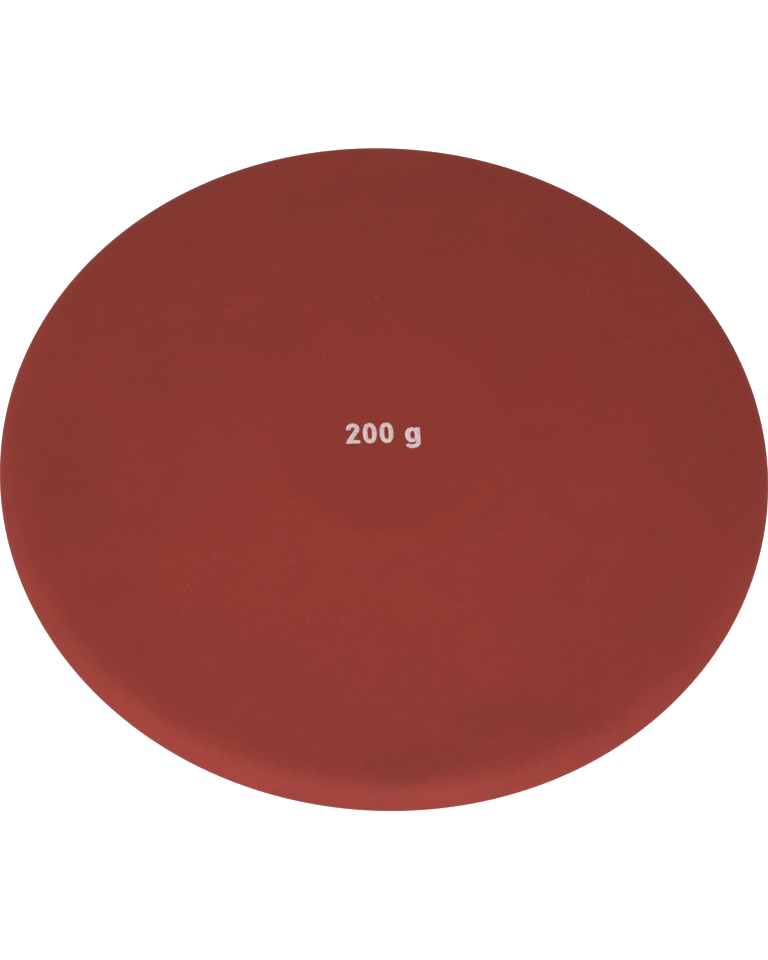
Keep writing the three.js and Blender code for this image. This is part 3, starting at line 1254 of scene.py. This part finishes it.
@dataclass
class Valve:
    """The rubber seat in the shell's recess and neck, and the push-in plug in it.

    Shares are of the gate mark's radius and depth, of the head's radius, or of the dish's depth.
    """

    shell: HollowShell
    rubber: ValveRubberFinish
    plastic: PlugPlasticFinish
    seat_clearance: float = 0.1 * MM
    set_back: float = 0.3 * MM
    lip_overhang: float = 1.1 * MM
    lip_thickness: float = 0.8 * MM
    lip_taper_height: float = 1.6 * MM
    lip_taper_inset: float = 0.6 * MM
    plug_clearance: float = 0.05 * MM
    head_diameter: float = 9 * MM
    head_thickness: float = 0.9 * MM
    stem_root_diameter: float = 5.2 * MM
    stem_top_diameter: float = 4.4 * MM
    stem_length: float = 8.5 * MM
    stem_tip_radius: float = 0.5 * MM
    nail_notch_radius: float = 1.3 * MM
    nail_notch_steps: int = 32
    gate_mark_radius: float = 0.5 * MM
    gate_mark_depth: float = 0.08 * MM
    gate_floor_share: float = 0.5
    gate_wall_share: float = 0.8
    head_dish: float = 0.06 * MM
    dish_slope_share: float = 0.5
    dish_rise_share: float = 0.25
    dish_end_share: float = 0.8
    soft_edge: float = 0.18 * MM
    ring_steps: int = 96
    seat_edge_steps: int = 3
    lip_edge_steps: int = 2
    plug_edge_steps: int = 4
    tip_edge_steps: int = 5
    notch_merge_distance: float = 0.002 * MM
    sharp_angle: float = 35.0

    @property
    def face(self) -> float:
        """Height of the seat's outer face."""
        return self.shell.bottom + self.set_back

    @property
    def head_floor(self) -> float:
        """Height of the floor that the plug's head lies on."""
        return self.face + self.head_thickness + self.plug_clearance

    def stem_radius(self, height: float) -> float:
        """Return the radius of the plug's tapered stem at a height."""
        share = (height - self.head_floor) / self.stem_length
        return (self.stem_root_diameter * (1 - share) + self.stem_top_diameter * share) / 2

    def build_seat(self) -> bpy.types.Object:
        """Model the seat: a flange, a barrel through the neck and a lip behind it.

        Returns:
            The finished seat.
        """
        shell = self.shell
        barrel = shell.bore_diameter / 2 - self.seat_clearance
        flange = shell.recess_diameter / 2 - self.seat_clearance
        flange_back = shell.bottom + shell.recess_depth - self.seat_clearance
        lip_face = shell.bottom + shell.neck_height + self.seat_clearance
        lip_edge = lip_face + self.lip_thickness
        lip_end = lip_edge + self.lip_taper_height
        pocket = self.head_diameter / 2 + self.plug_clearance
        edge = self.soft_edge
        steps = self.seat_edge_steps
        lip_centre = point(barrel + self.lip_overhang - edge, lip_edge)
        section = [
            *arc(point(pocket + edge, self.face + edge), edge, -math.pi, -QUARTER_TURN, steps),
            *arc(point(flange - edge, self.face + edge), edge, -QUARTER_TURN, 0.0, steps),
            point(flange, flange_back),
            point(barrel, flange_back),
            point(barrel, lip_face),
            point(barrel + self.lip_overhang, lip_face),
            *arc(lip_centre, edge, 0.0, QUARTER_TURN / 2, self.lip_edge_steps),
            point(barrel - self.lip_taper_inset, lip_end),
            point(self.stem_radius(lip_end) + self.plug_clearance, lip_end),
            point(self.stem_radius(self.head_floor) + self.plug_clearance, self.head_floor),
            point(pocket, self.head_floor),
        ]
        seat = TurnedPiece("valve_seat_rubber", section[0], self.ring_steps, pole=False)
        seat.grow([*section[1:], section[0]])
        piece = seat.close()
        self._cut_nail_notch(piece)
        smooth(piece, self.sharp_angle)
        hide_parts("valve_seat")
        hand_over(piece, self.rubber.material(), Body.DISCUS)
        return piece

    def _cut_nail_notch(self, seat: bpy.types.Object) -> None:
        """Scoop the notch beside the plug's head out of the seat, and leave only clean triangles there.

        Args:
            seat: The seat.
        """
        start_afresh()
        bpy.ops.mesh.primitive_uv_sphere_add(
            segments=self.nail_notch_steps,
            ring_count=self.nail_notch_steps // 2,
            radius=self.nail_notch_radius,
            location=(self.head_diameter / 2, 0.0, self.face),
        )
        scoop = bpy.context.object
        bpy.ops.object.transform_apply(location=True, rotation=True, scale=True)
        apply_modifier(seat, "BOOLEAN", {"operation": "DIFFERENCE", "solver": "EXACT", "object": scoop})
        bpy.data.objects.remove(scoop)
        with editing(seat):
            bpy.ops.mesh.select_all(action="SELECT")
            bpy.ops.mesh.remove_doubles(threshold=self.notch_merge_distance)
            bpy.ops.mesh.dissolve_degenerate(threshold=MERGE_DISTANCE)
            bpy.ops.mesh.quads_convert_to_tris(quad_method="BEAUTY", ngon_method="BEAUTY")

    def build_plug(self) -> bpy.types.Object:
        """Model the plug: a faintly dished head with a gate mark, on a tapered stem.

        Returns:
            The finished plug.
        """
        head = self.head_diameter / 2
        head_back = self.face + self.head_thickness
        tip = self.head_floor + self.stem_length
        tip_edge = self.stem_tip_radius
        tip_centre = point(self.stem_radius(tip) - tip_edge, tip - tip_edge)
        edge = self.soft_edge
        steps = self.plug_edge_steps
        mark = self.gate_mark_radius
        dished = self.face + self.head_dish
        section = [
            point(mark * self.gate_floor_share, dished + self.gate_mark_depth),
            point(mark * self.gate_wall_share, dished + self.gate_mark_depth * self.gate_wall_share),
            point(mark, dished),
            point(head * self.dish_slope_share, dished - self.head_dish * self.dish_rise_share),
            point(head * self.dish_end_share, self.face),
            *arc(point(head - edge, self.face + edge), edge, -QUARTER_TURN, 0.0, steps),
            *arc(point(head - edge, head_back - edge), edge, 0.0, QUARTER_TURN, steps),
            point(self.stem_radius(self.head_floor), head_back),
            point(self.stem_radius(tip - tip_edge), tip - tip_edge),
            *arc(tip_centre, tip_edge, 0.0, QUARTER_TURN, self.tip_edge_steps)[1:],
            point(mark, tip),
        ]
        plug = TurnedPiece("valve_plug_moulding", section[0], self.ring_steps, pole=True)
        plug.grow(section[1:])
        piece = plug.close()
        smooth(piece, self.sharp_angle)
        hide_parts("valve_plug")
        hand_over(piece, self.plastic.material(), Body.PLUG)
        return piece


@dataclass
class WeightPrint:
    """The weight printed on the upper flat, as a thin film of ink: two hundred, and g for grams.

    Places are measured from the left end of the baseline, and the foot and the heel of the 2 are its lowest
    stroke. Shares are of the stroke, of the cross stroke, or of the foot's height.
    """

    top: float
    finish: PrintInkFinish
    left: float = -9.43 * MM
    baseline: float = -2.23 * MM
    figure_height: float = 5.41 * MM
    overshoot: float = 0.06 * MM
    stroke: float = 1.08 * MM
    cross_stroke: float = 1.0 * MM
    two_width: float = 3.12 * MM
    two_bowl_height: float = 1.46 * MM
    two_bowl_shift_share: float = 0.02
    two_bowl_end: float = math.radians(-36)
    two_terminal_drop: float = 0.26 * MM
    two_slant_end_shares: tuple[float, float] = (0.49, 0.40)
    two_foot: float = 0.86 * MM
    two_heel: float = 0.12 * MM
    two_heel_top_share: float = 0.5
    two_inner_corner_share: float = 0.85
    slant_steps: int = 9
    nought_places: tuple[float, float] = (3.84 * MM, 7.74 * MM)
    nought_width: float = 3.2 * MM
    nought_crown_share: float = 1.06
    nought_fullness: float = 2.3
    nought_steps: int = 56
    nought_counter_fullness: float = 2.7
    nought_counter_steps: int = 40
    gram_place: float = 13.6 * MM
    gram_width: float = 3.55 * MM
    gram_height: float = 3.95 * MM
    gram_bowl_width: float = 3.12 * MM
    gram_bowl_steps: int = 44
    gram_counter_shares: tuple[float, float] = (0.96, 0.94)
    gram_counter_shift_share: float = 0.2
    gram_counter_fullness: float = 2.2
    gram_counter_steps: int = 36
    gram_descent: float = 1.65 * MM
    gram_tail: float = 0.14 * MM
    gram_hook_share: float = 0.95
    gram_hook_end: float = math.radians(-152)
    hook_steps: int = 26
    film: float = 0.045 * MM
    sunk: float = 0.03 * MM
    soft_edge: float = 0.012 * MM
    bead_width: float = 0.26 * MM
    bead_height: float = 0.008 * MM
    merge_distance: float = 0.0001 * MM
    top_normal: float = 0.99
    sharp_angle: float = 30.0

    def build(self) -> bpy.types.Object:
        """Model the four characters as one print.

        Returns:
            The finished print.
        """
        outlines = [self._two(), *self._gram()]
        for place in self.nought_places:
            outlines += self._nought(place)
        piece = self._film_of_ink(outlines)
        self._bead_edges(piece)
        smooth(piece, self.sharp_angle)
        hand_over(piece, self.finish.material(), Body.DISCUS)
        return piece

    def _at(self, x: float, y: float) -> Vector:
        """Return a point of the print, from the left end of its baseline."""
        return Vector((self.left + x, self.baseline + y))

    def _ribbon(self, path: Section, widths: tuple[float, float]) -> tuple[Section, Section]:
        """Return both edges of a stroke.

        Args:
            path: The middle of the stroke.
            widths: Its width at its start and at its end.

        Returns:
            The left edge and the right one: the outer and the inner one where the stroke turns right.
        """
        edges: tuple[Section, Section] = ([], [])
        last = len(path) - 1
        for i, place in enumerate(path):
            ahead = (path[min(i + 1, last)] - path[max(i - 1, 0)]).normalized()
            half = (widths[0] + (widths[1] - widths[0]) * i / last) / 2
            side = Vector((-ahead.y, ahead.x)) * half
            edges[0].append(place + side)
            edges[1].append(place - side)
        return edges

    def _two(self) -> Section:
        """Return the outline of the 2: a hook that runs down a slant into a foot.

        Returns:
            The outline, which has no counter.
        """
        half = self.stroke / 2
        lean_left = self.two_bowl_shift_share * self.stroke
        middle = self._at(self.two_width / 2 - lean_left, self.figure_height - self.two_bowl_height)
        reach = Vector((self.two_width / 2 - half, self.two_bowl_height - self.cross_stroke / 2))
        turn = oval(middle, reach, ELLIPSE, math.pi, self.two_bowl_end, self.hook_steps)
        start = turn[0] - Vector((0.0, self.two_terminal_drop))
        across, up = self.two_slant_end_shares
        end = self._at(self.stroke * across - self.two_heel, self.cross_stroke * up)
        bend = turn[-1] + (turn[-1] - turn[-2]).normalized() * self.stroke
        slant = [
            turn[-1] * (1 - share) ** 2 + bend * (2 * share * (1 - share)) + end * share * share
            for share in steps_up_to_one(self.slant_steps)
        ]
        outer, inner = self._ribbon([start, *turn, *slant], (self.stroke, self.stroke))
        foot_outline = [
            self._at(self.two_width, self.two_foot),
            self._at(self.two_width, 0.0),
            self._at(-self.two_heel, 0.0),
            self._at(-self.two_heel, self.two_foot * self.two_heel_top_share),
        ]
        foot = self.baseline + self.two_foot
        inner_corner = self.baseline + self.two_foot * self.two_inner_corner_share
        down_right = [place for place in outer if place.y > foot]
        up_left = [place for place in inner if place.y > inner_corner][::-1]
        return [*down_right, *foot_outline, *up_left]

    def _nought(self, place: float) -> list[Section]:
        """Return the outline of a nought and of its counter.

        Args:
            place: Its left side.

        Returns:
            The outline and the counter.
        """
        middle = self._at(place + self.nought_width / 2, self.figure_height / 2)
        outer = Vector((self.nought_width / 2, self.figure_height / 2 + self.overshoot))
        inner = outer - Vector((self.stroke, self.cross_stroke * self.nought_crown_share))
        return [
            closed_oval(middle, outer, self.nought_fullness, self.nought_steps),
            closed_oval(middle, inner, self.nought_counter_fullness, self.nought_counter_steps),
        ]

    def _gram(self) -> list[Section]:
        """Return the outline of the g and of its counter: a bowl, a stem and a hook below the line.

        Returns:
            The outline and the counter.
        """
        right = self.gram_place + self.gram_width
        stem = right - self.stroke
        reach = Vector((self.gram_bowl_width / 2, self.gram_height / 2 + self.overshoot))
        middle = self._at(self.gram_place + reach.x, self.gram_height / 2)
        meets = math.acos((self.left + stem - middle.x) / reach.x)
        bowl = oval(middle, reach, ELLIPSE, -meets, meets - math.tau, self.gram_bowl_steps)
        narrow = self.cross_stroke * self.gram_hook_share
        hook_width = (self.gram_width - self.stroke) / 2 + self.gram_tail
        hook_reach = Vector((hook_width, self.gram_descent - narrow / 2))
        hook_middle = self._at(right - self.stroke / 2 - hook_width, 0.0)
        turn = oval(hook_middle, hook_reach, ELLIPSE, 0.0, self.gram_hook_end, self.hook_steps)
        outer, inner = self._ribbon(turn, (self.stroke, narrow))
        stem_top = [self._at(stem, self.gram_height), self._at(right, self.gram_height)]
        side, crown = self.gram_counter_shares
        counter_reach = reach - Vector((self.stroke * side, self.cross_stroke * crown))
        counter_middle = middle + Vector((self.stroke * self.gram_counter_shift_share, 0.0))
        counter = closed_oval(
            counter_middle, counter_reach, self.gram_counter_fullness, self.gram_counter_steps
        )
        return [[*stem_top, *outer, *inner[::-1], *bowl], counter]

    def _film_of_ink(self, outlines: list[Section]) -> bpy.types.Object:
        """Fill the outlines and give the ink its thickness.

        Args:
            outlines: The outline of each character and of each counter.

        Returns:
            A closed film that reaches a little into the skin.
        """
        start_afresh()
        curve = bpy.data.curves.new("weight_print", "CURVE")
        curve.dimensions = "2D"
        curve.fill_mode = "BOTH"
        curve.extrude = (self.film + self.sunk) / 2 / MM - self.soft_edge / MM
        curve.bevel_depth = self.soft_edge / MM
        curve.bevel_resolution = 1
        curve.offset = -self.soft_edge / MM
        for outline in outlines:
            spline = curve.splines.new("POLY")
            spline.points.add(len(outline) - 1)
            spline.use_cyclic_u = True
            for spot, place in zip(spline.points, outline):
                spot.co = (place.x / MM, place.y / MM, 0.0, 1.0)
        piece = bpy.data.objects.new("weight_print", curve)
        bpy.context.collection.objects.link(piece)
        take_up(piece)
        bpy.ops.object.convert(target="MESH")
        piece = bpy.context.object
        piece.scale = (MM, MM, MM)
        piece.location.z = self.top + (self.film - self.sunk) / 2
        bpy.ops.object.transform_apply(location=True, rotation=True, scale=True)
        with editing(piece):
            bpy.ops.mesh.select_all(action="SELECT")
            bpy.ops.mesh.remove_doubles(threshold=self.merge_distance)
            bpy.ops.mesh.normals_make_consistent(inside=False)
        return piece

    def _bead_edges(self, piece: bpy.types.Object) -> None:
        """Lay a fine bead along the edges of the ink, and note which corners lie there.

        Args:
            piece: The film of ink.
        """
        for face in piece.data.polygons:
            face.select = face.normal.z > self.top_normal
        with editing(piece):
            bpy.ops.mesh.select_mode(type="FACE")
            bpy.ops.mesh.inset(thickness=self.bead_width, use_even_offset=True)
            bpy.ops.transform.translate(value=(0.0, 0.0, -self.bead_height))
        edge = piece.data.attributes.new(INK_EDGE, "FLOAT", "POINT")
        for vertex in piece.data.vertices:
            edge.data[vertex.index].value = 0.0 if vertex.select else 1.0


# Stage


@dataclass(frozen=True)
class Lamp:
    """One soft lamp of the studio.

    Attributes:
        name: Its name.
        azimuth: The turn of its place from +X towards +Y, in degrees.
        elevation: The height of its place above the horizon, in degrees.
        power: Its power, in watts.
        tint: Its colour.
    """

    name: str
    azimuth: float
    elevation: float
    power: float
    tint: Colour = WHITE


@dataclass
class Studio:
    """A pale floor, a white surround, soft lamps, and nothing else.

    Attributes:
        floor_height: The height of the floor.
        floor_size: The length of the floor's side.
        surround_level: How strongly the surround lights the object.
        surround_tint: The colour of that light.
        lit_floor: The floor that lights the object: the share of light that it gives back, and its own glow.
        mirrored_floor: The floor in mirror images, in the same two numbers.
        pictured_floor: The floor in the picture.
        lamp_distance: How far each lamp hangs from the object's middle.
        lamp_size: The length of a lamp's side.
        lamps: A low, broad bank of three in front, and a weaker one each on the left and at the back.
    """

    floor_height: float
    floor_size: float = 6.0
    surround_level: float = 0.77
    surround_tint: Colour = (1.0, 1.0, 0.97)
    lit_floor: tuple[float, float] = (0.25, 0.28)
    mirrored_floor: tuple[float, float] = (0.8, 0.2)
    pictured_floor: tuple[float, float] = (0.8, 0.75)
    lamp_distance: float = 1.5
    lamp_size: float = 1.2
    lamps: tuple[Lamp, ...] = (
        Lamp("front_left", 220.0, 4.0, 8.9, (0.89, 0.88, 1.0)),
        Lamp("front_middle", 265.0, 4.0, 15.3, (0.87, 0.86, 1.0)),
        Lamp("front_right", 305.0, 8.0, 9.8, (0.83, 0.83, 1.0)),
        Lamp("left", 180.0, 20.0, 3.8),
        Lamp("back", 90.0, 20.0, 2.2, (1.0, 1.0, 0.9)),
    )

    def build_floor(self) -> bpy.types.Object:
        """Model the floor, which shows white with a faint shadow, glows a little, and is clear from below.

        Returns:
            The floor.
        """
        start_afresh()
        bpy.ops.mesh.primitive_plane_add(size=self.floor_size, location=(0.0, 0.0, self.floor_height))
        floor = bpy.context.object
        floor.name = "studio_floor"
        shading = Shading("studio_floor")
        eye, mirrored, through, shadow = shading.rays("Camera", "Glossy", "Transmission", "Shadow")
        lit = self._pale_glow(shading, *self.lit_floor)
        mirror_image = self._pale_glow(shading, *self.mirrored_floor)
        picture = self._pale_glow(shading, *self.pictured_floor)
        shown = shading.mixed_shaders(mirrored.at_least(through).at_most(1.0), lit, mirror_image)
        shown = shading.mixed_shaders(eye, shown, picture)
        from_below = eye * shading.field("ShaderNodeNewGeometry", None, None, "Backfacing")
        clear = (from_below + shadow).at_most(1.0)
        shading.show(shading.mixed_shaders(clear, shown, shading.node("ShaderNodeBsdfTransparent")))
        floor.data.materials.append(shading.material)
        return floor

    def _pale_glow(self, shading: Shading, paleness: float, glow: float) -> bpy.types.Node:
        """Add a matt white shader that also glows.

        Args:
            shading: The floor's shading.
            paleness: The share of the light that it gives back.
            glow: How bright it is with no light on it.

        Returns:
            The shader.
        """
        matt = shading.node("ShaderNodeBsdfDiffuse", None, {"Color": as_rgba((paleness,) * 3)})
        lamp = shading.node("ShaderNodeEmission", None, {"Color": as_rgba(WHITE), "Strength": glow})
        return shading.node("ShaderNodeAddShader", None, {0: matt.outputs[0], 1: lamp.outputs[0]})

    def build_surround(self) -> None:
        """Make a world that is white to the eye and lights the object at a lower level."""
        world = bpy.data.worlds.new("studio_surround")
        bpy.context.scene.world = world
        tree = Nodes(world, "ShaderNodeOutputWorld")
        eye, mirrored, through = tree.rays("Camera", "Glossy", "Transmission")
        light_inputs = {"Color": as_rgba(self.surround_tint), "Strength": self.surround_level}
        light = tree.node("ShaderNodeBackground", None, light_inputs)
        white = tree.node("ShaderNodeBackground", None, {"Color": as_rgba(WHITE)})
        tree.show(tree.mixed_shaders(eye.at_least(mirrored).at_least(through), light, white))

    def hang_lamps(self) -> None:
        """Hang each lamp, square and pointing at the discus."""
        for lamp in self.lamps:
            place = outward_from(lamp.azimuth, lamp.elevation) * self.lamp_distance
            start_afresh()
            bpy.ops.object.light_add(type="AREA", location=place)
            piece = bpy.context.object
            piece.name = lamp.name
            piece.data.shape = "SQUARE"
            piece.data.size = self.lamp_size
            piece.data.energy = lamp.power
            piece.data.color = lamp.tint
            piece.rotation_euler = (-place).to_track_quat("-Z", "Y").to_euler()


@dataclass
class PhotoCamera:
    """The camera at the photograph's view.

    Attributes:
        distance: From the discus's middle, in metres.
        azimuth: The turn of its place from +X towards +Y, in degrees.
        elevation: The height of its place above the horizon, in degrees.
        roll: The camera's own turn to the left, in degrees.
        shift_right: How far the camera stands to its own right of the discus's middle, in metres.
        shift_down: How far it stands below the middle in its own picture, in metres.
        focal_pixels: The focal length in pixels of the photograph.
        picture_width: The width of the photograph in pixels.
        sensor_width: The width that the lens is given for, in millimetres.
    """

    distance: float = 1.6
    azimuth: float = -96.24
    elevation: float = 58.44
    roll: float = 3.8
    shift_right: float = -0.14 * MM
    shift_down: float = 2.22 * MM
    focal_pixels: float = 6835.0
    picture_width: float = 768.0
    sensor_width: float = 36.0

    def build(self) -> bpy.types.Object:
        """Place the camera and make it the scene's own.

        Returns:
            The camera.
        """
        level = (-outward_from(self.azimuth, self.elevation)).to_track_quat("-Z", "Y")
        tilt = level @ Euler((0.0, 0.0, math.radians(self.roll))).to_quaternion()
        place = tilt @ Vector((self.shift_right, -self.shift_down, self.distance))
        start_afresh()
        bpy.ops.object.camera_add(location=place, rotation=tilt.to_euler())
        camera = bpy.context.object
        camera.name = "photo_camera"
        camera.data.sensor_fit = "HORIZONTAL"
        camera.data.sensor_width = self.sensor_width
        camera.data.lens = self.focal_pixels / self.picture_width * self.sensor_width
        bpy.context.scene.camera = camera
        return camera


def main() -> None:
    """Build the discus, its stage and its camera, in that order."""
    logging.basicConfig(level=logging.INFO, format="%(name)s: %(message)s")
    low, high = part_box("shell")
    bottom, top = low[2], high[2]
    shell = HollowShell(high[0] - low[0], top - bottom, SoftPvcFinish())
    shell.build()
    valve = Valve(shell, ValveRubberFinish(), PlugPlasticFinish())
    valve.build_seat()
    valve.build_plug()
    WeightPrint(top, PrintInkFinish()).build()
    studio = Studio(bottom)
    studio.build_floor()
    studio.build_surround()
    studio.hang_lamps()
    PhotoCamera().build()
    bpy.context.scene.view_settings.view_transform = "Standard"


if __name__ == "__main__":
    main()
